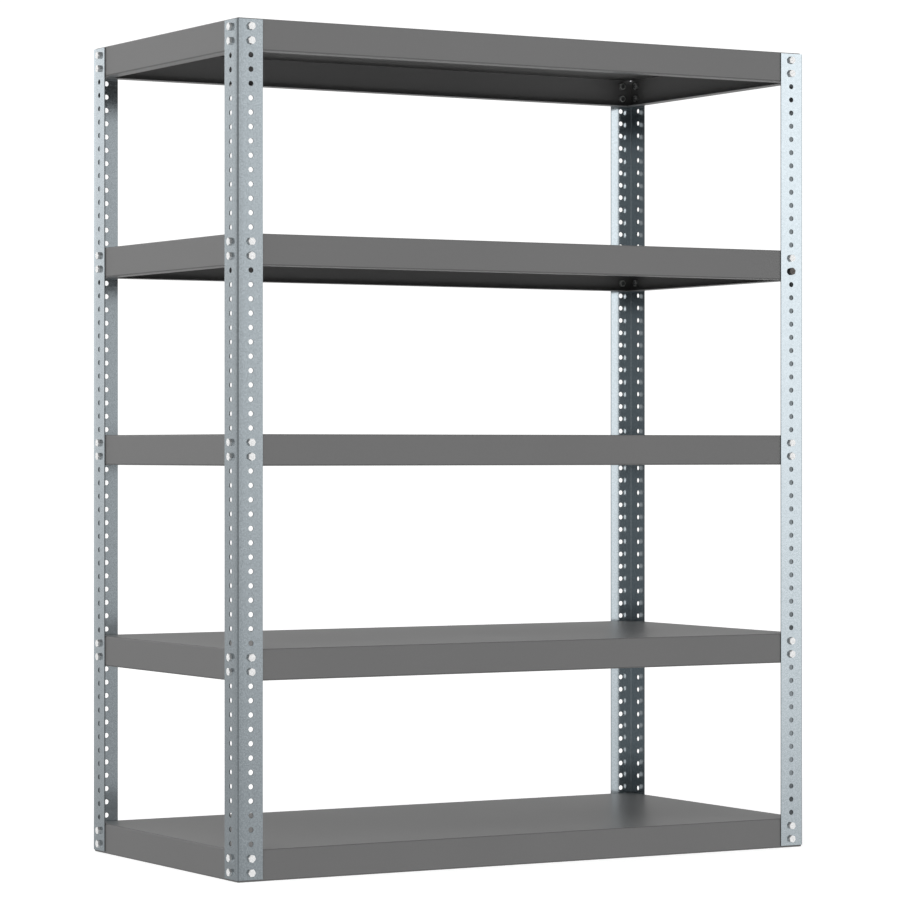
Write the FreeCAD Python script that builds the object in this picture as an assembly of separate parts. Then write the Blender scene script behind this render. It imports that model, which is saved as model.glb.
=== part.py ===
"""Five-level bolted steel shelving unit: perforated angle posts, pan shelves, hex bolts and nuts.

Millimetres, +Z up, front face towards -Y. The origin is the centre of the footprint at floor level.
Each node is written to parts/NODE.step, and each bolt or nut in a group stays a separate solid.
"""
import FreeCAD, Part
import math
import os

from FreeCAD import Vector

# Frame
PITCH = 25.4                      # distance between holes along a post
UNIT_WIDTH = 48 * PITCH           # over the outer faces of the posts, left to right
UNIT_DEPTH = 24 * PITCH           # over the outer faces of the posts, front to back
HOLES_PER_LEG = 60
POST_LENGTH = HOLES_PER_LEG * PITCH

# Angle posts
LEG = 2 * PITCH                   # width of each leg
POST_GAUGE = 1.9                  # steel thickness
POST_BEND = 3.0                   # outer radius of the bend
HOLE_DIAMETER = 9.53
HOLE_LINE = 27.0                  # hole centres from the outer corner of the angle

# Pan shelves
SHELF_GAUGE = 1.2
SHELF_BEND = 2.5                  # outer radius where the sheet turns
TOP_MARGIN = 14.6                 # shelf surface above its upper row of holes
BOTTOM_MARGIN = 16.5              # lower row of holes above the shelf's lower edge
LIP = 25.4                        # width of the return under each skirt
SEAM = 0.8                        # gap between neighbouring skirts at a corner
RELIEF_RADIUS = 3.5               # round notch where three bends would meet
RELIEF_DEPTH = 5.0
UPPER_HOLES = (0, 15, 29, 44, 58)  # post hole, counted from the top, that takes each shelf's upper bolts

# Hex bolts and nuts
SHANK_DIAMETER = 7.94
SHANK_LENGTH = 12.7
ACROSS_FLATS = 12.7
HEAD_HEIGHT = 5.3
NUT_HEIGHT = 6.75
NUT_BORE = 8.06
CHAMFER_ANGLE = 30.0              # chamfer on the corners of heads and nuts
FACE_SHARE = 0.95                 # width of the flat inside that chamfer, as a share of ACROSS_FLATS
TIP_CHAMFER = 0.8
DARK_BOLT = (2, "front_right", "front", 1)   # shelf, corner, flange, row of the one black bolt

SHELF_WIDTH = UNIT_WIDTH - 2 * POST_GAUGE
SHELF_DEPTH = UNIT_DEPTH - 2 * POST_GAUGE
SHELF_HEIGHT = TOP_MARGIN + PITCH + BOTTOM_MARGIN
POST_FOOT = BOTTOM_MARGIN - (HOLES_PER_LEG - 0.5 - UPPER_HOLES[-1] - 1) * PITCH

# Corner name: which way the corner lies from the centre, in X and in Y
CORNERS = {
    "front_left": (-1, -1),
    "front_right": (1, -1),
    "rear_left": (-1, 1),
    "rear_right": (1, 1),
}
FLANGES = ("front", "side")       # the leg facing front or rear, and the leg facing left or right

UP = Vector(0, 0, 1)
SPIN_STEP = 37                    # degrees; each next bolt is left turned by this much
NUT_SPIN_FACTOR = 2               # and its nut by this many times as much
CONE_SHARE = 0.98                 # of a head's or nut's height, down to where its chamfer cone reaches


def hole_height(index):
    """Height of a post hole, counted from the top of the post."""
    return POST_FOOT + (HOLES_PER_LEG - 0.5 - index) * PITCH


def place_in_corner(shape, corner):
    """Mirror a shape made for the front left corner, with that corner at 0,0, into its own corner."""
    side, face = CORNERS[corner]
    if side > 0:
        shape = shape.mirror(Vector(0, 0, 0), Vector(1, 0, 0))
    if face > 0:
        shape = shape.mirror(Vector(0, 0, 0), Vector(0, 1, 0))
    return shape.translated(Vector(side * UNIT_WIDTH / 2, face * UNIT_DEPTH / 2, 0))


def angle_section():
    """Face of the angle's cross-section with its outer corner at 0,0 and legs along +X and +Y."""
    inner = POST_BEND - POST_GAUGE
    slant = math.sqrt(0.5)
    centre = POST_BEND

    def on_bend(radius):
        return Vector(centre - radius * slant, centre - radius * slant, 0)

    outline = [
        Part.makeLine(Vector(centre, 0, 0), Vector(LEG, 0, 0)),
        Part.makeLine(Vector(LEG, 0, 0), Vector(LEG, POST_GAUGE, 0)),
        Part.makeLine(Vector(LEG, POST_GAUGE, 0), Vector(centre, POST_GAUGE, 0)),
        Part.Arc(Vector(centre, POST_GAUGE, 0), on_bend(inner), Vector(POST_GAUGE, centre, 0)).toShape(),
        Part.makeLine(Vector(POST_GAUGE, centre, 0), Vector(POST_GAUGE, LEG, 0)),
        Part.makeLine(Vector(POST_GAUGE, LEG, 0), Vector(0, LEG, 0)),
        Part.makeLine(Vector(0, LEG, 0), Vector(0, centre, 0)),
        Part.Arc(Vector(0, centre, 0), on_bend(POST_BEND), Vector(centre, 0, 0)).toShape(),
    ]
    return Part.Face(Part.Wire(outline))


def flange_cylinder(flange, height, radius, start, length):
    """Cylinder along a flange's normal, pointing into the unit, on the hole line of the front left post."""
    if flange == "front":
        return Part.makeCylinder(radius, length, Vector(HOLE_LINE, start, height), Vector(0, 1, 0))
    return Part.makeCylinder(radius, length, Vector(start, HOLE_LINE, height), Vector(1, 0, 0))


def make_post():
    """Perforated angle for the front left corner."""
    post = angle_section().extrude(UP * POST_LENGTH).translated(UP * POST_FOOT)
    drills = []
    for flange in FLANGES:
        for index in range(HOLES_PER_LEG):
            height = hole_height(index)
            drills.append(flange_cylinder(flange, height, HOLE_DIAMETER / 2, -1, POST_GAUGE + 2))
    return post.cut(Part.makeCompound(drills))


def rounded_block(inset, radius):
    """Block filling the shelf's outline less an inset all round, its long edges rounded."""
    width = SHELF_WIDTH - 2 * inset
    depth = SHELF_DEPTH - 2 * inset
    height = SHELF_HEIGHT - 2 * inset
    block = Part.makeBox(width, depth, height, Vector(-width / 2, -depth / 2, inset))
    level_edges = [edge for edge in block.Edges if abs(edge.tangentAt(edge.FirstParameter).z) < 0.5]
    return block.makeFillet(radius, level_edges)


def corner_cuts():
    """Seam slot and round relief at the shelf's front left corner, shelf standing on z = 0."""
    reach = LIP * math.sqrt(2) + 2
    slot = Part.makeBox(reach, SEAM, SHELF_HEIGHT - RELIEF_DEPTH + 1, Vector(-1, -SEAM / 2, -0.5))
    slot.rotate(Vector(0, 0, 0), UP, 45)
    notch = Part.makeCylinder(RELIEF_RADIUS, RELIEF_DEPTH + 1, Vector(0, 0, SHELF_HEIGHT - RELIEF_DEPTH))
    return slot.fuse(notch)


def make_shelf():
    """Pan shelf standing on z = 0: flat top, four skirts and four return lips bent from one sheet."""
    sheet = rounded_block(0, SHELF_BEND).cut(rounded_block(SHELF_GAUGE, SHELF_BEND - SHELF_GAUGE))
    opening_width = SHELF_WIDTH - 2 * LIP
    opening_depth = SHELF_DEPTH - 2 * LIP
    opening = Part.makeBox(opening_width, opening_depth, 2 * SHELF_GAUGE,
                           Vector(-opening_width / 2, -opening_depth / 2, -SHELF_GAUGE / 2))
    cuts = [opening]
    seam = corner_cuts()
    for side, face in CORNERS.values():
        cut = seam
        if side > 0:
            cut = cut.mirror(Vector(0, 0, 0), Vector(1, 0, 0))
        if face > 0:
            cut = cut.mirror(Vector(0, 0, 0), Vector(0, 1, 0))
        cuts.append(cut.translated(Vector(side * SHELF_WIDTH / 2, face * SHELF_DEPTH / 2, 0)))
    for corner in CORNERS:
        for flange in FLANGES:
            for row in range(2):
                height = BOTTOM_MARGIN + row * PITCH
                drill = flange_cylinder(flange, height, HOLE_DIAMETER / 2, POST_GAUGE / 2, 2 * POST_GAUGE)
                cuts.append(place_in_corner(drill, corner))
    return sheet.cut(Part.makeCompound(cuts))


def hexagon(height):
    """Hexagonal prism on z = 0, flats ACROSS_FLATS apart."""
    radius = ACROSS_FLATS / math.sqrt(3)
    points = [Vector(radius * math.cos(math.radians(60 * k)), radius * math.sin(math.radians(60 * k)), 0)
              for k in range(7)]
    return Part.Face(Part.makePolygon(points)).extrude(UP * height)


def chamfer_cone(height):
    """Solid that trims a hexagonal prism's corners at its upper end."""
    flat_radius = FACE_SHARE * ACROSS_FLATS / 2
    drop = height * CONE_SHARE
    wide = flat_radius + drop / math.tan(math.radians(CHAMFER_ANGLE))
    return Part.makeCone(wide, flat_radius, drop, Vector(0, 0, height - drop))


def make_bolt():
    """Hex bolt with its seat on z = 0, the head below and the shank up along +Z."""
    head = hexagon(HEAD_HEIGHT).common(chamfer_cone(HEAD_HEIGHT))
    head.rotate(Vector(0, 0, 0), Vector(1, 0, 0), 180)
    radius = SHANK_DIAMETER / 2
    root = -HEAD_HEIGHT / 2       # the shank runs on into the head, so that the two fuse
    profile = Part.makePolygon([
        Vector(0, 0, root), Vector(radius, 0, root), Vector(radius, 0, SHANK_LENGTH - TIP_CHAMFER),
        Vector(radius - TIP_CHAMFER, 0, SHANK_LENGTH), Vector(0, 0, SHANK_LENGTH), Vector(0, 0, root)])
    shank = Part.Face(profile).revolve(Vector(0, 0, 0), UP, 360)
    return head.fuse(shank).removeSplitter()


def make_nut():
    """Hex nut with its seat on z = 0, both faces chamfered."""
    upper = hexagon(NUT_HEIGHT).common(chamfer_cone(NUT_HEIGHT))
    lower = chamfer_cone(NUT_HEIGHT)
    lower.rotate(Vector(0, 0, NUT_HEIGHT / 2), Vector(1, 0, 0), 180)
    bore = Part.makeCylinder(NUT_BORE / 2, NUT_HEIGHT + 2, Vector(0, 0, -1))
    return upper.common(lower).cut(bore)


def seat(shape, flange, height, offset, spin):
    """Turn a fastener about its own axis and set it in a hole of the front left post."""
    fastener = shape.copy()
    fastener.rotate(Vector(0, 0, 0), UP, spin)
    if flange == "front":
        fastener.rotate(Vector(0, 0, 0), Vector(1, 0, 0), -90)
        return fastener.translated(Vector(HOLE_LINE, offset, height))
    fastener.rotate(Vector(0, 0, 0), Vector(0, 1, 0), 90)
    return fastener.translated(Vector(offset, HOLE_LINE, height))


def fastener_sets(bolt, nut):
    """Bolts and nuts of every shelf corner by node name; the dark bolt has a node of its own."""
    nodes = {}
    spin = 0
    for number, upper_hole in enumerate(UPPER_HOLES, start=1):
        for corner in CORNERS:
            bolts = []
            nuts = []
            for flange in FLANGES:
                for row in range(2):
                    height = hole_height(upper_hole + row)
                    spin += SPIN_STEP
                    placed_bolt = place_in_corner(seat(bolt, flange, height, 0, spin), corner)
                    inner_face = POST_GAUGE + SHELF_GAUGE
                    nuts.append(place_in_corner(seat(nut, flange, height, inner_face,
                                                      NUT_SPIN_FACTOR * spin), corner))
                    if (number, corner, flange, row) == DARK_BOLT:
                        nodes["black_bolt"] = placed_bolt
                    else:
                        bolts.append(placed_bolt)
            nodes[f"bolts_shelf_{number}_{corner}"] = Part.makeCompound(bolts)
            nodes[f"nuts_shelf_{number}_{corner}"] = Part.makeCompound(nuts)
    return nodes


def main():
    os.makedirs("parts", exist_ok=True)
    nodes = {}
    post = make_post()
    for corner in CORNERS:
        nodes[f"post_{corner}"] = place_in_corner(post, corner)
    shelf = make_shelf()
    for number, upper_hole in enumerate(UPPER_HOLES, start=1):
        foot = hole_height(upper_hole) + TOP_MARGIN - SHELF_HEIGHT
        nodes[f"shelf_{number}"] = shelf.translated(UP * foot)
    nodes.update(fastener_sets(make_bolt(), make_nut()))
    for name, shape in nodes.items():
        shape.exportStep(f"parts/{name}.step")
        print(name, len(shape.Solids), shape.isValid(), round(sum(s.Volume for s in shape.Solids)))


main()
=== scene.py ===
import math

import bmesh
import bpy
from mathutils import Matrix, Vector


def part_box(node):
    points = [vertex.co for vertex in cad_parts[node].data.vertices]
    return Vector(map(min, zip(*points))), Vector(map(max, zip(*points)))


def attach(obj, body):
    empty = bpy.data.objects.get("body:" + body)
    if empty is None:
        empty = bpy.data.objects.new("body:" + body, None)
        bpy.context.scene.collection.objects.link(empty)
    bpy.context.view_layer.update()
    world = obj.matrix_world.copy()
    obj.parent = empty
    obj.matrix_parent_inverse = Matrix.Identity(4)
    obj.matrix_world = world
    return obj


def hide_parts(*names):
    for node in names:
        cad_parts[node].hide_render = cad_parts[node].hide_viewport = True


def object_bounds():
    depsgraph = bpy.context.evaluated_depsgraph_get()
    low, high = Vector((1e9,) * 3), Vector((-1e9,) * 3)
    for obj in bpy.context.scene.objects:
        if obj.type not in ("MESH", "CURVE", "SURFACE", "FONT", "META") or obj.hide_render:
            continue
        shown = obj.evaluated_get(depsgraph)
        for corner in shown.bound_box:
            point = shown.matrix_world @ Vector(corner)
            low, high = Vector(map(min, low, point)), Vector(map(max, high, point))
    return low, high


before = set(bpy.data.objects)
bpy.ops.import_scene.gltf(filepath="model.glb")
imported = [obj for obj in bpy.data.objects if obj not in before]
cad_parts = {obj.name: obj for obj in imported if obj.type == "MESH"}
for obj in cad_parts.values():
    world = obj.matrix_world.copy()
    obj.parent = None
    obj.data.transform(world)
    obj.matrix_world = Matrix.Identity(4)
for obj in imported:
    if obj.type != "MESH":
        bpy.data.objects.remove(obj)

# Looks of a bolted steel shelving unit: perforated galvanised angle posts, grey pan shelves, zinc bolts
# and nuts. Metres, +Z up, front towards -Y. Levels and outlines come from the frame.

CAD_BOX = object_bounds()
MM = 0.001

CORNERS = {
    "front_left": (-1, -1),
    "front_right": (1, -1),
    "rear_left": (-1, 1),
    "rear_right": (1, 1),
}
SHELVES = ("shelf_1", "shelf_2", "shelf_3", "shelf_4", "shelf_5")

# Angle posts
POST_LOW, POST_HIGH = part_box("post_front_left")
HALF_WIDTH, HALF_DEPTH = -POST_LOW.x, -POST_LOW.y
LEG = POST_HIGH.x - POST_LOW.x
HOLES = 60
PITCH = (POST_HIGH.z - POST_LOW.z) / HOLES
POST_GAUGE = 1.9 * MM
POST_BEND = 3.0 * MM
HOLE_RADIUS = 4.765 * MM
HOLE_LINE = 27.0 * MM
PUNCH_EASING = 0.25 * MM          # the soft edge that punching and zinc leave
AROUND_HOLE = 16                  # edges round a hole; a multiple of 8, so that its square has corners

# Pan shelves
SHELF_GAUGE = 1.2 * MM
SHELF_BEND = 2.5 * MM
TOP_MARGIN = 14.6 * MM            # shelf surface above its upper row of holes
BOTTOM_MARGIN = 16.5 * MM
LIP = 25.4 * MM
SEAM = 0.8 * MM
RELIEF_DEPTH = 5.0 * MM
RELIEF_SHOULDER = 0.3 * MM        # height in which the seam widens into the corner relief
HOLE_SQUARE = 24 * MM             # side of the square of sheet meshed round each bolt hole
SHEARED_EDGE = 0.2 * MM           # rounding left on cut sheet
BEND_STEPS = 6

# Hex bolts and nuts
SHANK_RADIUS = 3.97 * MM
SHANK_LENGTH = 12.7 * MM
HALF_FLATS = 6.35 * MM
HEAD_HEIGHT = 5.3 * MM
NUT_HEIGHT = 6.75 * MM
THREAD_PITCH = 1.411 * MM
THREAD_DEPTH = 0.45 * MM
AROUND_HEX = 24
TIP_TAPER = (0.7 * MM, 0.9 * MM)  # how much the shank's tip tapers, across and along
FACE_EDGE = 0.93 * HALF_FLATS     # radius of the flat inside the chamfers
BLACK_BOLT = (2, "front_right", "front", 1)   # shelf, corner, flange, row

# Camera
CAMERA_TURN = -30                 # degrees round from the front
CAMERA_DISTANCE = 7.1636
CAMERA_LENS = 149.4


# ---------------------------------------------------------------- node trees

class Value:
    """A socket in a node tree. Arithmetic on it adds Math nodes."""

    def __init__(self, graph, socket):
        self.graph = graph
        self.socket = socket

    def __add__(self, other):
        return self.graph.math("ADD", self, other)

    def __radd__(self, other):
        return self.graph.math("ADD", other, self)

    def __sub__(self, other):
        return self.graph.math("SUBTRACT", self, other)

    def __rsub__(self, other):
        return self.graph.math("SUBTRACT", other, self)

    def __mul__(self, other):
        return self.graph.math("MULTIPLY", self, other)

    def __truediv__(self, other):
        return self.graph.math("DIVIDE", self, other)

    def __lt__(self, other):
        return self.graph.math("LESS_THAN", self, other)

    def __gt__(self, other):
        return self.graph.math("GREATER_THAN", self, other)

    def __abs__(self):
        return self.graph.math("ABSOLUTE", self)


class Graph:
    """A node tree being built: add() makes any node, math() a Math node."""

    def __init__(self, tree):
        self.tree = tree

    def add(self, kind, values=None, output=0, stops=None, **settings):
        """Add a node: its settings first, then the values or links of its sockets, by name or number."""
        node = self.tree.nodes.new(kind)
        for name, setting in settings.items():
            setattr(node, name, setting)
        if stops:
            for point, (place, colour) in zip(node.color_ramp.elements, stops):
                point.position = place
                point.color = (*colour, 1)
        for key, value in (values or {}).items():
            if isinstance(value, Value):
                self.tree.links.new(value.socket, node.inputs[key])
            else:
                node.inputs[key].default_value = value
        return Value(self, node.outputs[output]) if len(node.outputs) else None

    def math(self, operation, *operands):
        return self.add("ShaderNodeMath", dict(enumerate(operands)), operation=operation)


def geometry_graph(name, inputs):
    """A geometry tree with named inputs. Returns its graph and its inputs as values by name."""
    tree = bpy.data.node_groups.new(name, "GeometryNodeTree")
    tree.interface.new_socket("Geometry", in_out="OUTPUT", socket_type="NodeSocketGeometry")
    for label, kind in inputs.items():
        tree.interface.new_socket(label, in_out="INPUT", socket_type=kind)
    graph = Graph(tree)
    group_input = tree.nodes.new("NodeGroupInput")
    return graph, {label: Value(graph, group_input.outputs[label]) for label in inputs}


def finish_geometry(graph, geometry, material):
    """End a geometry tree in Realize Instances and Set Material."""
    real = graph.add("GeometryNodeRealizeInstances", {"Geometry": geometry})
    painted = graph.add("GeometryNodeSetMaterial", {"Geometry": real, "Material": material})
    graph.add("NodeGroupOutput", {"Geometry": painted})


def grow(name, graph, values, seed_mesh):
    """Run a geometry tree on a mesh with these input values and return the result as a plain mesh."""
    holder = bpy.data.objects.new(name + "_growing", seed_mesh)
    bpy.context.scene.collection.objects.link(holder)
    modifier = holder.modifiers.new("Growth", "NODES")
    modifier.node_group = graph.tree
    for item in graph.tree.interface.items_tree:
        if item.in_out == "INPUT" and item.name in values:
            modifier[item.identifier] = values[item.name]
    holder.update_tag()
    view = bpy.context.evaluated_depsgraph_get()
    mesh = bpy.data.meshes.new_from_object(holder.evaluated_get(view))
    bpy.data.objects.remove(holder)
    mesh.name = name
    return mesh


# ---------------------------------------------------------------- meshes

def add_object(name, mesh):
    piece = bpy.data.objects.new(name, mesh)
    bpy.context.scene.collection.objects.link(piece)
    return piece


def edit(mesh, change):
    """Run change(bm) on a mesh."""
    bm = bmesh.new()
    bm.from_mesh(mesh)
    change(bm)
    bm.to_mesh(mesh)
    bm.free()


def apply_modifiers(piece):
    """Put the result of a piece's modifiers in its mesh."""
    view = bpy.context.evaluated_depsgraph_get()
    piece.data = bpy.data.meshes.new_from_object(piece.evaluated_get(view))
    piece.modifiers.clear()


def smooth(piece, sharp_angle):
    """Shade a piece smooth between its sharp edges, with the normals of its large faces kept flat."""
    mesh = piece.data
    mesh.polygons.foreach_set("use_smooth", [True] * len(mesh.polygons))
    mesh.set_sharp_from_angle(angle=math.radians(sharp_angle))
    flatten = piece.modifiers.new("Weighted normals", "WEIGHTED_NORMAL")
    flatten.keep_sharp = True
    flatten.weight = 100


def hand_over(piece, node):
    """A finished piece stands for a CAD node and rides on the unit's one body."""
    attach(piece, "root")
    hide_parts(node)


# ---------------------------------------------------------------- perforated angle posts

def cells(graph, columns, rows):
    """A grid mesh and its column and row numbers as values."""
    grid = graph.add("GeometryNodeMeshGrid", {"Size X": 1.0, "Size Y": 1.0,
                                              "Vertices X": columns + 1, "Vertices Y": rows + 1})
    place = graph.add("GeometryNodeInputPosition")
    split = {axis: graph.add("ShaderNodeSeparateXYZ", {0: place}, output=axis) for axis in (0, 1)}
    return grid, (split[0] + 0.5) * columns, (split[1] + 0.5) * rows


def shaped(graph, mesh, x, y, z):
    """The mesh with its points moved to x, y, z."""
    place = graph.add("ShaderNodeCombineXYZ", {0: x, 1: y, 2: z})
    return graph.add("GeometryNodeSetPosition", {"Geometry": mesh, "Position": place})


def cut_profile(graph, row, gauge, easing):
    """Five rows that go round a cut edge of the sheet, from one face to the other.

    Returns which rows are the cut itself, which are out on the faces, and the depth in the sheet."""
    step = row - 2.5
    on_cut = abs(step) < 1.0
    far = abs(step) > 2.0
    depth = gauge / 2.0 + graph.math("SIGN", step) * (gauge / 2.0 - easing * on_cut)
    return on_cut, far, depth


def marked_cut(graph, mesh, on_cut):
    """Record on the points how much bare cut steel they show."""
    return graph.add("GeometryNodeStoreNamedAttribute",
                     {"Geometry": mesh, "Name": "cut_edge", "Value": on_cut},
                     data_type="FLOAT", domain="POINT")


def side_heights(graph, number, pitch):
    """Heights of the points along one side of a hole's square, which match the rays from its hole."""
    per_side = AROUND_HOLE // 4
    return pitch / 2.0 * graph.math("TANGENT", (number - per_side / 2) * (math.pi / 2 / per_side))


def angle_post_tree():
    """Geometry tree of a perforated angle, its outer corner at 0,0 and its legs along +X and +Y."""
    graph, size = geometry_graph("perforated_angle", {
        "Leg": "NodeSocketFloat", "Gauge": "NodeSocketFloat", "Bend": "NodeSocketFloat",
        "Hole Radius": "NodeSocketFloat", "Hole Line": "NodeSocketFloat", "Easing": "NodeSocketFloat",
        "Pitch": "NodeSocketFloat", "Holes": "NodeSocketInt", "Foot": "NodeSocketFloat",
        "Material": "NodeSocketMaterial"})
    leg, gauge, bend = size["Leg"], size["Gauge"], size["Bend"]
    line, easing, pitch = size["Hole Line"], size["Easing"], size["Pitch"]

    # the square of sheet round one hole
    mesh, around, row = cells(graph, AROUND_HOLE, 5)
    on_cut, far, depth = cut_profile(graph, row, gauge, easing)
    turn = around * (2 * math.pi / AROUND_HOLE)
    cosine, sine = graph.math("COSINE", turn), graph.math("SINE", turn)
    rim = pitch / 2.0 / graph.math("MAXIMUM", abs(cosine), abs(sine))
    edge = size["Hole Radius"] + easing * (1 - on_cut)
    radius = edge + (rim - edge) * far
    mesh = marked_cut(graph, mesh, on_cut)
    square = shaped(graph, mesh, line + radius * cosine, depth, radius * sine)

    # the strip from that square round the leg's free edge
    mesh, along, row = cells(graph, AROUND_HOLE // 4, 5)
    on_cut, far, depth = cut_profile(graph, row, gauge, easing)
    edge = leg - easing * (1 - on_cut)
    across = edge + (line + pitch / 2.0 - edge) * far
    mesh = marked_cut(graph, mesh, on_cut)
    strip = shaped(graph, mesh, across, depth, side_heights(graph, along, pitch))

    # the other leg has the same two, with X and Y exchanged
    pieces = [square, strip]
    place = graph.add("GeometryNodeInputPosition")
    axes = [graph.add("ShaderNodeSeparateXYZ", {0: place}, output=axis) for axis in range(3)]
    for part in (square, strip):
        pieces.append(shaped(graph, part, axes[1], axes[0], axes[2]))

    # the bend, outside and inside
    for radius in (bend, bend - gauge):
        mesh, step, along = cells(graph, BEND_STEPS + 2, AROUND_HOLE // 4)
        turn = graph.add("ShaderNodeClamp", {"Value": (step - 1) / BEND_STEPS}) * (math.pi / 2)
        straight = line - pitch / 2.0 - bend
        x = bend - radius * graph.math("SINE", turn) + straight * (step < 0.5)
        y = bend - radius * graph.math("COSINE", turn) + straight * (step > BEND_STEPS + 1.5)
        pieces.append(shaped(graph, mesh, x, y, side_heights(graph, along, pitch)))

    join = graph.tree.nodes.new("GeometryNodeJoinGeometry")
    for part in pieces:
        graph.tree.links.new(part.socket, join.inputs[0])
    offset = graph.add("ShaderNodeCombineXYZ", {2: pitch})
    start = graph.add("ShaderNodeCombineXYZ", {2: size["Foot"] + pitch / 2.0})
    row_of_points = graph.add("GeometryNodeMeshLine",
                              {"Count": size["Holes"], "Start Location": start, "Offset": offset})
    stack = graph.add("GeometryNodeInstanceOnPoints",
                      {"Points": row_of_points, "Instance": Value(graph, join.outputs[0])})
    finish_geometry(graph, stack, size["Material"])
    return graph


def close_shell(bm):
    """Weld a shell's seams, close its open ends and turn its faces outwards."""
    bmesh.ops.remove_doubles(bm, verts=bm.verts, dist=0.01 * MM)
    bmesh.ops.holes_fill(bm, edges=[edge for edge in bm.edges if edge.is_boundary], sides=0)
    bmesh.ops.recalc_face_normals(bm, faces=bm.faces)


def make_posts(finish):
    """The four posts, each mirrored into its corner."""
    graph = angle_post_tree()
    values = {"Leg": LEG, "Gauge": POST_GAUGE, "Bend": POST_BEND, "Hole Radius": HOLE_RADIUS,
              "Hole Line": HOLE_LINE, "Easing": PUNCH_EASING, "Pitch": PITCH, "Holes": HOLES,
              "Foot": POST_LOW.z, "Material": finish}
    for corner, (side, face) in CORNERS.items():
        name = "angle_post_" + corner
        mesh = grow(name, graph, values, bpy.data.meshes.new(name))
        mesh.transform(Matrix.Diagonal((-side, -face, 1, 1)))
        mesh.transform(Matrix.Translation((side * HALF_WIDTH, face * HALF_DEPTH, 0)))
        edit(mesh, close_shell)
        post = add_object(name, mesh)
        smooth(post, 40)
        hand_over(post, "post_" + corner)


# ---------------------------------------------------------------- pan shelves

def skirt_rows(height):
    """Rows across one folded side, from the lip's edge up to the top sheet.

    Each is (inset from the outer face, height, distance of the row's end from the corner). Returns the
    rows and the numbers of the rows where the two squares round the bolt holes start."""
    mitre = SEAM / math.sqrt(2)
    notch = SHELF_BEND * math.sqrt(2)
    rows = [(LIP, 0.0, LIP + mitre)]
    for step in range(BEND_STEPS + 1):
        turn = math.pi / 2 * step / BEND_STEPS
        inset = SHELF_BEND * (1 - math.sin(turn))
        rows.append((inset, SHELF_BEND * (1 - math.cos(turn)), inset + mitre))
    square_starts = []
    levels = (SHELF_BEND, BOTTOM_MARGIN + PITCH / 2, height - RELIEF_DEPTH)
    per_side = AROUND_HOLE // 4
    for low, high in zip(levels, levels[1:]):
        square_starts.append(len(rows) - 1)
        for step in range(1, per_side + 1):
            rows.append((0.0, low + (high - low) * step / per_side, mitre))
    rows.append((0.0, height - RELIEF_DEPTH + RELIEF_SHOULDER, notch))
    for step in range(BEND_STEPS + 1):
        turn = math.pi / 2 * step / BEND_STEPS
        inset = SHELF_BEND * (1 - math.cos(turn))
        end = math.sqrt(max(notch ** 2 - inset ** 2, SHELF_BEND ** 2))
        rows.append((inset, height - SHELF_BEND + SHELF_BEND * math.sin(turn), end))
    return rows, square_starts


def fold_side(bm, place, length, height):
    """One skirt with its lip and bends, punched with two bolt holes near each end.

    place(along, inset, height) gives a point. Returns the vertices of the top row."""
    rows, square_starts = skirt_rows(height)
    per_side = AROUND_HOLE // 4
    hole_from_end = HOLE_LINE - POST_GAUGE
    first = hole_from_end - HOLE_SQUARE / 2
    near = [first + HOLE_SQUARE * step / per_side for step in range(per_side + 1)]
    grid = []
    for inset, level, end in rows:
        left = [end] + [max(at, end + MM * number) for number, at in enumerate(near, start=1)]
        stations = left + [length - at for at in reversed(left)]
        grid.append([bm.verts.new(place(at, inset, level)) for at in stations])
    columns = len(grid[0]) - 1
    square_columns = (1, columns - 1 - per_side)
    for row in range(len(rows) - 1):
        for column in range(columns):
            in_square = any(start <= row < start + per_side for start in square_starts)
            if in_square and any(start <= column < start + per_side for start in square_columns):
                continue
            bm.faces.new((grid[row][column], grid[row][column + 1],
                          grid[row + 1][column + 1], grid[row + 1][column]))
    for number, row in enumerate(square_starts):
        for column in square_columns:
            centre = hole_from_end if column == 1 else length - hole_from_end
            steps = range(per_side)
            outer = [grid[row][column + step] for step in steps]
            outer += [grid[row + step][column + per_side] for step in steps]
            outer += [grid[row + per_side][column + per_side - step] for step in steps]
            outer += [grid[row + per_side - step][column] for step in steps]
            hole = []
            for step in range(AROUND_HOLE):
                turn = math.radians(225) + 2 * math.pi * step / AROUND_HOLE
                level = BOTTOM_MARGIN + number * PITCH + HOLE_RADIUS * math.sin(turn)
                hole.append(bm.verts.new(place(centre + HOLE_RADIUS * math.cos(turn), 0, level)))
            for step in range(AROUND_HOLE):
                following = (step + 1) % AROUND_HOLE
                bm.faces.new((outer[step], outer[following], hole[following], hole[step]))
    return grid[-1]


def fold_pan(bm, low, high):
    """Outer skin of a whole pan shelf between two corners of its box."""
    width, depth, height = high - low
    sides = (
        (lambda along, inset, level: (low.x + along, low.y + inset, low.z + level), width),
        (lambda along, inset, level: (high.x - inset, low.y + along, low.z + level), depth),
        (lambda along, inset, level: (high.x - along, high.y - inset, low.z + level), width),
        (lambda along, inset, level: (low.x + inset, high.y - along, low.z + level), depth),
    )
    rim = []
    for place, length in sides:
        rim += fold_side(bm, place, length, height)[:-1]
    bmesh.ops.remove_doubles(bm, verts=bm.verts, dist=0.01 * MM)
    bm.faces.new([vert for vert in rim if vert.is_valid])
    loose = [vert for vert in bm.verts if not vert.link_faces]
    bmesh.ops.delete(bm, geom=loose, context="VERTS")


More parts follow.
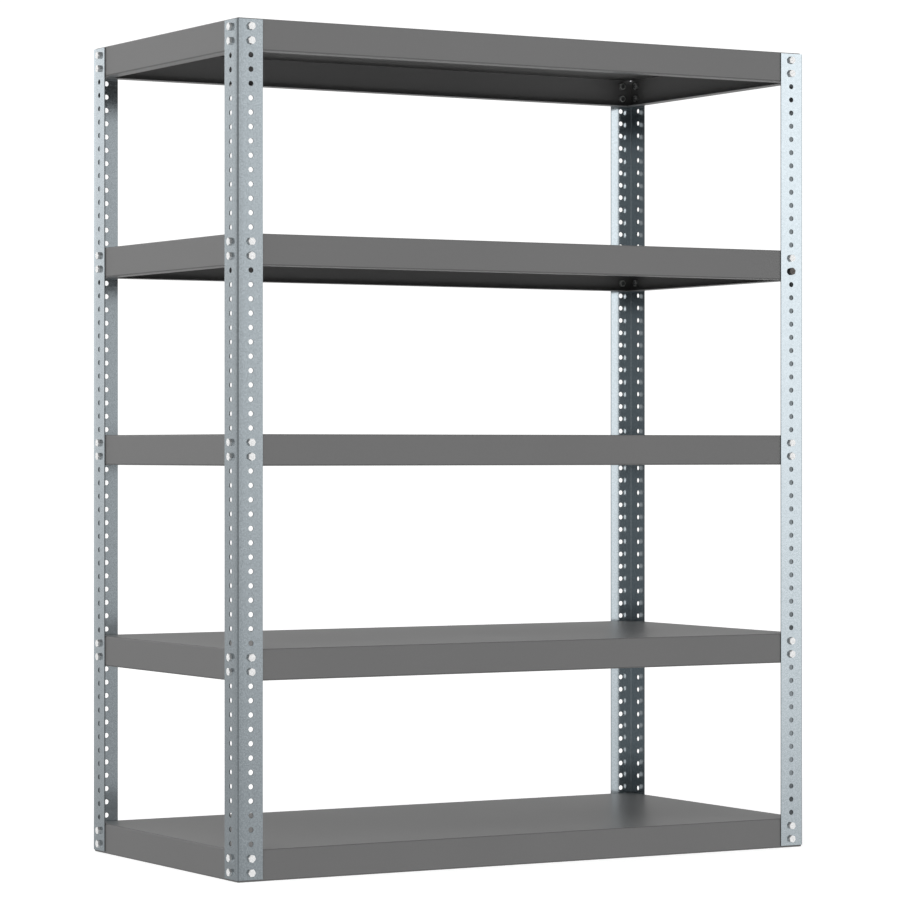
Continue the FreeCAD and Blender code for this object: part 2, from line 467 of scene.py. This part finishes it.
def mark_fold(mesh, low, high):
    """Record on the points their distance up the sheet from where the lip meets the lower bend, where the
    enamel paints a line of shade.
    """
    fold = mesh.attributes.new("fold", "FLOAT", "POINT")
    for vertex, entry in zip(mesh.vertices, fold.data):
        place = vertex.co
        inset = min(place.x - low.x, high.x - place.x, place.y - low.y, high.y - place.y)
        rise = place.z - low.z
        if rise > SHELF_BEND:
            entry.value = SHELF_BEND * (math.pi / 2 - 1) + rise
        elif inset > SHELF_BEND:
            entry.value = SHELF_BEND - inset
        else:
            entry.value = SHELF_BEND * math.atan2(SHELF_BEND - inset, SHELF_BEND - rise)


def make_shelves(finish):
    """The five pan shelves."""
    for node in SHELVES:
        low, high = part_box(node)
        name = node.replace("shelf", "pan_shelf")
        mesh = bpy.data.meshes.new(name)
        edit(mesh, lambda bm: fold_pan(bm, low, high))
        mesh.materials.append(finish)
        shelf = add_object(name, mesh)
        sheet = shelf.modifiers.new("Sheet", "SOLIDIFY")
        sheet.thickness = SHELF_GAUGE
        sheet.offset = -1
        sheet.use_even_offset = True
        cut = shelf.modifiers.new("Sheared edges", "BEVEL")
        cut.width = SHEARED_EDGE
        cut.segments = 2
        cut.limit_method = "ANGLE"
        cut.angle_limit = math.radians(50)
        cut.harden_normals = False
        apply_modifiers(shelf)
        shelf.data.name = name
        mark_fold(shelf.data, low, high)
        smooth(shelf, 50)
        hand_over(shelf, node)


# ---------------------------------------------------------------- hex bolts and nuts

def hex_radius(turn):
    """Distance from the axis to the hexagon's flats at an angle."""
    sector = math.radians(60)
    return HALF_FLATS / math.cos((turn + sector / 2) % sector - sector / 2)


def round_mesh(name, rows, closed):
    """Mesh of rows round the Z axis. Each row is a function from an angle to (radius, height).

    Its faces record how much painted shade they take: none on the flats, 1 on the hex sides, more on the
    thread."""
    bm = bmesh.new()
    rings = []
    for row in rows:
        ring = []
        for step in range(AROUND_HEX):
            turn = 2 * math.pi * step / AROUND_HEX
            radius, height = row(turn)
            ring.append(bm.verts.new((radius * math.cos(turn), radius * math.sin(turn), height)))
        rings.append(ring)
    pairs = list(zip(rings, rings[1:]))
    if closed:
        pairs.append((rings[-1], rings[0]))
    else:
        bm.faces.new(rings[0])
        bm.faces.new(rings[-1])
    for lower, upper in pairs:
        for step in range(AROUND_HEX):
            following = (step + 1) % AROUND_HEX
            bm.faces.new((lower[step], lower[following], upper[following], upper[step]))
    bmesh.ops.recalc_face_normals(bm, faces=bm.faces)
    mesh = bpy.data.meshes.new(name)
    bm.to_mesh(mesh)
    bm.free()
    # painted shade: the hex sides get 1 and the thread 2.5, which the finishes turn into darker colour
    painted_shade = mesh.attributes.new("painted_shade", "FLOAT", "FACE")
    for face, entry in zip(mesh.polygons, painted_shade.data):
        on_thread = face.center.z < -SHANK_RADIUS
        entry.value = 2.5 if on_thread else float(abs(face.normal.z) < 0.2)
    return mesh


def ring(radius, height):
    """A plain round row."""
    return lambda turn: (radius, height)


def hex_row(height, easing=0.0):
    """A hexagonal row, drawn in a little where an edge is eased."""
    return lambda turn: (hex_radius(turn) - easing, height)


def chamfered_row(height, direction):
    """The hexagonal row where a 30 degree chamfer, starting inside the flats, comes down the corners."""
    start = 0.95 * HALF_FLATS
    fall = math.tan(math.radians(30))
    return lambda turn: (hex_radius(turn), height - direction * (hex_radius(turn) - start) * fall)


def thread_row(level):
    """A row of the shank's thread, which climbs one pitch in a turn."""
    def row(turn):
        phase = 2 * math.pi * level / THREAD_PITCH - turn
        return SHANK_RADIUS - THREAD_DEPTH * (0.5 - 0.5 * math.cos(phase)), level
    return row


def bolt_mesh():
    """Hex bolt, seat on z = 0, head towards +Z, with a shallow ring forged in its face."""
    top = HEAD_HEIGHT
    taper_across, taper_along = TIP_TAPER
    thread_start = -SHANK_LENGTH + taper_along
    thread_steps = 18
    threads = [thread_row(thread_start + THREAD_PITCH / 4 * step) for step in range(thread_steps)]
    rows = [
        ring(0.6 * SHANK_RADIUS, -SHANK_LENGTH),
        ring(SHANK_RADIUS - taper_across, -SHANK_LENGTH),
        *threads,
        ring(SHANK_RADIUS, thread_start + THREAD_PITCH / 4 * thread_steps),
        ring(SHANK_RADIUS, 0.0),
        ring(FACE_EDGE, 0.0),
        ring(0.94 * HALF_FLATS, 0.25 * MM),
        hex_row(0.3 * MM, 0.12 * MM),
        hex_row(0.45 * MM),
        chamfered_row(top, 1),
        ring(FACE_EDGE, top - 0.06 * MM),
        ring(0.88 * HALF_FLATS, top),
        ring(0.48 * HALF_FLATS, top),
        ring(0.44 * HALF_FLATS, top - 0.22 * MM),
        ring(0.34 * HALF_FLATS, top - 0.22 * MM),
        ring(0.30 * HALF_FLATS, top - 0.05 * MM),
        ring(0.12 * HALF_FLATS, top),
    ]
    return round_mesh("hex_bolt", rows, closed=False)


def nut_mesh():
    """Hex nut, seat on z = 0 and top towards +Z, both faces chamfered, its bore countersunk."""
    bore = SHANK_RADIUS + 0.06 * MM
    top = NUT_HEIGHT
    rows = [
        ring(bore + 0.5 * MM, 0.0),
        ring(FACE_EDGE, 0.0),
        chamfered_row(0.0, -1),
        chamfered_row(top, 1),
        ring(FACE_EDGE, top - 0.03 * MM),
        ring(0.90 * HALF_FLATS, top),
        ring(bore + 0.55 * MM, top),
        ring(bore, top - 0.55 * MM),
        ring(bore, 0.5 * MM),
    ]
    return round_mesh("hex_nut", rows, closed=True)


def fastener_tree():
    """Geometry tree that sets a fastener on each point, along the point's direction, turned at random."""
    graph, size = geometry_graph("fasteners_in_holes", {
        "Seats": "NodeSocketGeometry", "Fastener": "NodeSocketObject", "Seed": "NodeSocketInt",
        "Material": "NodeSocketMaterial"})
    shape = graph.add("GeometryNodeObjectInfo", {"Object": size["Fastener"]}, output="Geometry")
    direction = graph.add("GeometryNodeInputNamedAttribute", {"Name": "outward"}, data_type="FLOAT_VECTOR")
    aimed = graph.add("FunctionNodeAlignRotationToVector", {"Vector": direction}, axis="Z")
    spin = graph.add("FunctionNodeRandomValue", {2: 0.0, 3: math.radians(60), "Seed": size["Seed"]},
                     output=1, data_type="FLOAT")
    about_axis = graph.add("FunctionNodeAxisAngleToRotation", {"Axis": (0, 0, 1), "Angle": spin})
    turned = graph.add("FunctionNodeRotateRotation", {"Rotation": aimed, "Rotate By": about_axis},
                       rotation_space="LOCAL")
    placed = graph.add("GeometryNodeInstanceOnPoints",
                       {"Points": size["Seats"], "Instance": shape, "Rotation": turned})
    finish_geometry(graph, placed, size["Material"])
    return graph


def seats(number, corner, depth):
    """Bolt holes of one shelf corner: [(place, outward direction, flange, row)], depth in from the post."""
    side, face = CORNERS[corner]
    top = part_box(f"shelf_{number}")[1].z
    found = []
    for flange in ("front", "side"):
        for row in range(2):
            level = top - TOP_MARGIN - row * PITCH
            if flange == "front":
                place = Vector((side * (HALF_WIDTH - HOLE_LINE), face * (HALF_DEPTH - depth), level))
                outward = Vector((0, face, 0))
            else:
                place = Vector((side * (HALF_WIDTH - depth), face * (HALF_DEPTH - HOLE_LINE), level))
                outward = Vector((side, 0, 0))
            found.append((place, outward, flange, row))
    return found


def set_fasteners(name, graph, shape, found, flip, seed, finish):
    """One piece that holds a fastener on each seat."""
    points = bpy.data.meshes.new(name + "_seats")
    points.from_pydata([place for place, *_ in found], [], [])
    outward = points.attributes.new("outward", "FLOAT_VECTOR", "POINT")
    outward.data.foreach_set("vector", [c for _, way, *_ in found for c in way * flip])
    mesh = grow(name, graph, {"Fastener": shape, "Seed": seed, "Material": finish}, points)
    piece = add_object(name, mesh)
    smooth(piece, 32)
    return piece


def make_fasteners(zinc, dull_zinc, black):
    """Bolts and nuts of every shelf corner, and the one black bolt."""
    graph = fastener_tree()
    bolt = add_object("bolt_pattern_shape", bolt_mesh())
    nut = add_object("nut_pattern_shape", nut_mesh())
    inner_face = POST_GAUGE + SHELF_GAUGE
    seed = 0
    for number in range(1, len(SHELVES) + 1):
        for corner in CORNERS:
            seed += 1
            place = f"shelf_{number}_{corner}"
            outer = seats(number, corner, 0)
            bright = [seat for seat in outer if (number, corner, *seat[2:]) != BLACK_BOLT]
            dark = [seat for seat in outer if (number, corner, *seat[2:]) == BLACK_BOLT]
            bolts = set_fasteners("hex_bolts_" + place, graph, bolt, bright, 1, seed, zinc)
            hand_over(bolts, "bolts_" + place)
            if dark:
                odd_bolt = set_fasteners("hex_bolt_black", graph, bolt, dark, 1, seed + 100, black)
                hand_over(odd_bolt, "black_bolt")
            inner = seats(number, corner, inner_face)
            nuts = set_fasteners("hex_nuts_" + place, graph, nut, inner, -1, seed + 200, dull_zinc)
            hand_over(nuts, "nuts_" + place)
    bpy.data.objects.remove(bolt)
    bpy.data.objects.remove(nut)


# ---------------------------------------------------------------- finishes

def new_material(name):
    material = bpy.data.materials.new(name)
    material.use_nodes = True
    material.node_tree.nodes.clear()
    return material, Graph(material.node_tree)


def finish_material(graph, **sockets):
    """End a material in one Principled shader. Socket names are written with underscores."""
    values = {name.replace("_", " "): value for name, value in sockets.items()}
    shader = graph.add("ShaderNodeBsdfPrincipled", values)
    graph.add("ShaderNodeOutputMaterial", {"Surface": shader})


def object_place(graph):
    return graph.add("ShaderNodeTexCoord", output="Object")


def noise(graph, place, scale, detail=2.0, rough=0.5, stretch=(1, 1, 1)):
    """Noise from 0 to 1; scale is in cells per metre, and stretch below 1 draws it out along an axis."""
    if stretch != (1, 1, 1):
        place = graph.add("ShaderNodeMapping", {"Vector": place, "Scale": stretch})
    return graph.add("ShaderNodeTexNoise", {"Vector": place, "Scale": scale, "Detail": detail,
                                            "Roughness": rough})


def blend_colours(graph, factor, first, second):
    """Mix of two colours. Each is three numbers or a value."""
    ends = [colour if isinstance(colour, Value) else (*colour, 1) for colour in (first, second)]
    return graph.add("ShaderNodeMix", {"Factor": factor, 6: ends[0], 7: ends[1]}, output=2, data_type="RGBA")


def ramp(graph, value, start, end, low=0.0, high=1.0):
    """Straight ramp from low at start to high at end, level outside them."""
    return graph.add("ShaderNodeMapRange", {"Value": value, "From Min": start, "From Max": end,
                                            "To Min": low, "To Max": high})


def bump(graph, height, distance, strength=1.0):
    return graph.add("ShaderNodeBump", {"Height": height, "Distance": distance, "Strength": strength})


def galvanised_steel():
    """Bright zinc on steel strip with a fine spangle, dark bare steel on the punched and sheared cuts."""
    material, graph = new_material("galvanised_steel")
    place = object_place(graph)
    spangle = graph.add("ShaderNodeTexVoronoi", {"Vector": place, "Scale": 560.0}, output="Color")
    spangle = graph.add("ShaderNodeSeparateColor", {"Color": spangle})
    fine = noise(graph, place, 900.0)
    cloud = noise(graph, place, 14.0, stretch=(1, 1, 0.3))
    cut = graph.add("ShaderNodeAttribute", output="Fac", attribute_name="cut_edge")
    tone = spangle * 0.65 + fine * 0.3 + cloud * 0.05
    colour = blend_colours(graph, tone, (0.430, 0.484, 0.514), (0.590, 0.656, 0.697))
    colour = blend_colours(graph, cut * 0.95, colour, (0.050, 0.052, 0.055))
    finish_material(graph, Base_Color=colour, Metallic=1.0 - cut * 0.2,
                    Roughness=0.08 + tone * 0.06 + cut * 0.30,
                    Normal=bump(graph, fine, 0.035 * MM))
    return material


def grey_enamel():
    """Satin grey baked enamel with a faint orange peel, and a line of painted shade along the lower bend."""
    material, graph = new_material("grey_enamel")
    place = object_place(graph)
    peel = noise(graph, place, 260.0)
    grain = noise(graph, place, 1500.0, detail=1.0)
    cloud = noise(graph, place, 3.0)
    tone = cloud * 0.6 + peel * 0.25 + grain * 0.15
    fold = graph.add("ShaderNodeAttribute", output="Fac", attribute_name="fold")
    # painted shade: a dark line mixed into the colour where the lower bend turns, placed by the fold
    # distance
    line = ramp(graph, abs(fold - 2.9 * MM), 0.6 * MM, 1.5 * MM, 0.4, 0.0)
    colour = blend_colours(graph, tone, (0.158, 0.158, 0.158), (0.186, 0.186, 0.186))
    colour = blend_colours(graph, line, colour, (0.03, 0.03, 0.03))
    finish_material(graph, Base_Color=colour, Roughness=0.32 + tone * 0.08, Specular_IOR_Level=0.2,
                    Normal=bump(graph, peel + grain * 0.2, 0.03 * MM))
    return material


def zinc_plate(name, dark, light, rough):
    """Clear zinc plate on a forged fastener, with shade painted darker on the hex sides and more on the
    thread.
    """
    material, graph = new_material(name)
    place = object_place(graph)
    fine = noise(graph, place, 1800.0)
    cloud = noise(graph, place, 260.0)
    tone = fine * 0.5 + cloud * 0.5
    painted_shade = graph.add("ShaderNodeAttribute", output="Fac", attribute_name="painted_shade")
    # painted shade: the hex sides, and the thread more, are mixed towards dark grey
    colour = blend_colours(graph, painted_shade * 0.3, blend_colours(graph, tone, dark, light), (0.16, 0.175, 0.178))
    finish_material(graph, Base_Color=colour, Metallic=graph.math("MINIMUM", painted_shade * 0.45 + 0.2, 1.0),
                    Roughness=rough + tone * 0.15, Normal=bump(graph, fine + cloud, 0.015 * MM))
    return material


def black_oxide():
    """Oiled black oxide, lighter brown and mottled on the face; shade is painted black on the hex sides and
    thread.
    """
    material, graph = new_material("black_oxide")
    place = object_place(graph)
    fine = noise(graph, place, 1400.0)
    cloud = noise(graph, place, 300.0)
    painted_shade = graph.add("ShaderNodeAttribute", output="Fac", attribute_name="painted_shade")
    # painted shade: the hex sides and thread are held at black, and only the face is lightened by the noise
    face_lightness = graph.add("ShaderNodeClamp", {"Value": (cloud * 0.6 + fine * 0.4 + 0.15) * (1.0 - painted_shade)})
    colour = blend_colours(graph, face_lightness, (0.034, 0.033, 0.032), (0.20, 0.182, 0.170))
    finish_material(graph, Base_Color=colour,
                    Metallic=0.6, Roughness=0.36 + fine * 0.12, Normal=bump(graph, fine, 0.02 * MM))
    return material


# ---------------------------------------------------------------- studio

def make_floor():
    """Plain pale floor that doesn't light the unit."""
    bpy.ops.mesh.primitive_plane_add(size=60)
    floor = bpy.context.object
    floor.name = "floor"
    material, graph = new_material("pale_floor")
    finish_material(graph, Base_Color=(0.8, 0.8, 0.8, 1), Roughness=0.9, Emission_Color=(1, 1, 1, 1),
                    Emission_Strength=0.6)
    floor.data.materials.append(material)
    floor.visible_glossy = False
    floor.visible_diffuse = False


def bright_arc(graph, turn, rise, fall):
    """The part of the surround between two bearings, each with a soft end from its start to its stop."""
    return ramp(graph, turn, *rise) * ramp(graph, turn, *fall, 1, 0)


def make_world():
    """White surround. What lights the unit is dim on the left front and bright to the right and behind."""
    world = bpy.data.worlds.new("studio")
    bpy.context.scene.world = world
    world.use_nodes = True
    world.node_tree.nodes.clear()
    graph = Graph(world.node_tree)
    direction = graph.add("ShaderNodeTexCoord", output="Generated")
    x, y, z = [graph.add("ShaderNodeSeparateXYZ", {0: direction}, output=axis) for axis in range(3)]
    turn = graph.math("ARCTAN2", x, 0.0 - y) * (180 / math.pi)
    turn = turn + (turn < 0.0) * 360        # degrees round from the front: 90 is right, 180 is behind
    mirrored = graph.add("ShaderNodeLightPath", output="Is Glossy Ray")

    # how bright each side is at the level of the horizon
    right = ramp(graph, turn, 20.5, 26.8, 0, 0.33) + ramp(graph, turn, 26.8, 32.4, 0, 0.62)
    right = right * ramp(graph, turn, 33.2, 35.2, 1, 0.93) * ramp(graph, turn, 52, 62, 1, 0.12)
    right = right * ramp(graph, turn, 95, 150, 1, 0)
    rear_right = bright_arc(graph, turn, (95, 150), (199, 205))
    behind = bright_arc(graph, turn, (176, 192), (201.1, 209.6))
    left_side = bright_arc(graph, turn, (207, 214), (268, 308))
    horizon = 0.27 + right * 1.22 + behind * 0.88 + rear_right * 0.15 + left_side * 0.16

    # how that changes above and below the horizon: on the front half it levels off upwards
    rear = ramp(graph, turn, 95, 125)
    front_slope = 1.0 + ramp(graph, turn, 20, 31) * 3.2
    slope = front_slope * (1.0 - rear) + rear * ramp(graph, turn, 202, 212, 5.4, -0.5)
    slope = slope * (1.0 - (z > 0.0) * (1.0 - rear) * 0.5)
    level = graph.add("ShaderNodeClamp", {"Value": z * slope + 1.0, "Min": 0.4, "Max": 1.12 + rear * 0.38})
    level = level * ramp(graph, z, 0.3, 0.8, 1.0, 0.25)

    # light away from the horizon, which the polished zinc hardly mirrors
    away = ramp(graph, abs(z), 0.15, 0.4) * ramp(graph, z, -0.1, 0.1, 1.25, 0.36)
    upper_left = bright_arc(graph, turn, (225, 250), (310, 340))
    upper_left = upper_left * ramp(graph, z, 0.25, 0.4, 0, 0.4) * ramp(graph, z, 0.7, 0.9, 1, 0)

    # a low glow at the back, mirrored in the undersides of the lips
    low_rear = bright_arc(graph, turn, (100, 130), (165, 190)) * mirrored
    low_rear = low_rear * ramp(graph, z, -0.3, -0.15) * ramp(graph, z, -0.02, 0.0, 1, 0)

    strength = horizon * level + (away + upper_left) * (1.0 - mirrored * 0.85) + low_rear * 0.6
    lit = graph.add("ShaderNodeBackground", {"Color": (1, 1, 1, 1), "Strength": strength})
    seen = graph.add("ShaderNodeBackground", {"Color": (1, 1, 1, 1), "Strength": 1.1})
    camera_ray = graph.add("ShaderNodeLightPath", output="Is Camera Ray")
    mixed = graph.add("ShaderNodeMixShader", {0: camera_ray, 1: lit, 2: seen})
    graph.add("ShaderNodeOutputWorld", {"Surface": mixed})


def make_light(name, place, aim, size, power):
    lamp = bpy.data.lights.new(name, "AREA")
    lamp.shape = "RECTANGLE"
    lamp.size, lamp.size_y = size
    lamp.energy = power
    light = bpy.data.objects.new(name, lamp)
    light.location = place
    light.rotation_euler = (Vector(aim) - Vector(place)).to_track_quat("-Z", "Y").to_euler()
    light.visible_camera = False
    light.visible_glossy = False
    bpy.context.scene.collection.objects.link(light)


def make_camera():
    """Camera level with the middle of the unit, 30 degrees round to its left."""
    low, high = (Vector(corner) for corner in CAD_BOX)
    centre = (low + high) / 2
    turn = math.radians(CAMERA_TURN)
    data = bpy.data.cameras.new("camera")
    data.lens = CAMERA_LENS
    camera = bpy.data.objects.new("camera", data)
    camera.location = centre + Vector((math.sin(turn), -math.cos(turn), 0)) * CAMERA_DISTANCE
    camera.rotation_euler = (math.radians(90), 0, turn)
    bpy.context.scene.collection.objects.link(camera)
    bpy.context.scene.camera = camera


bpy.context.scene.view_settings.view_transform = "Standard"
make_camera()
make_world()
make_floor()
make_light("left_softbox", (-2.0, -1.8, 3.8), (0, 0, 0.76), (3.0, 3.0), 36)
make_posts(galvanised_steel())
make_shelves(grey_enamel())
make_fasteners(zinc_plate("zinc_plate", (0.95, 0.96, 0.96), (1.0, 1.0, 1.0), 0.32),
               zinc_plate("dull_zinc_plate", (0.60, 0.61, 0.60), (0.74, 0.75, 0.74), 0.34),
               black_oxide())
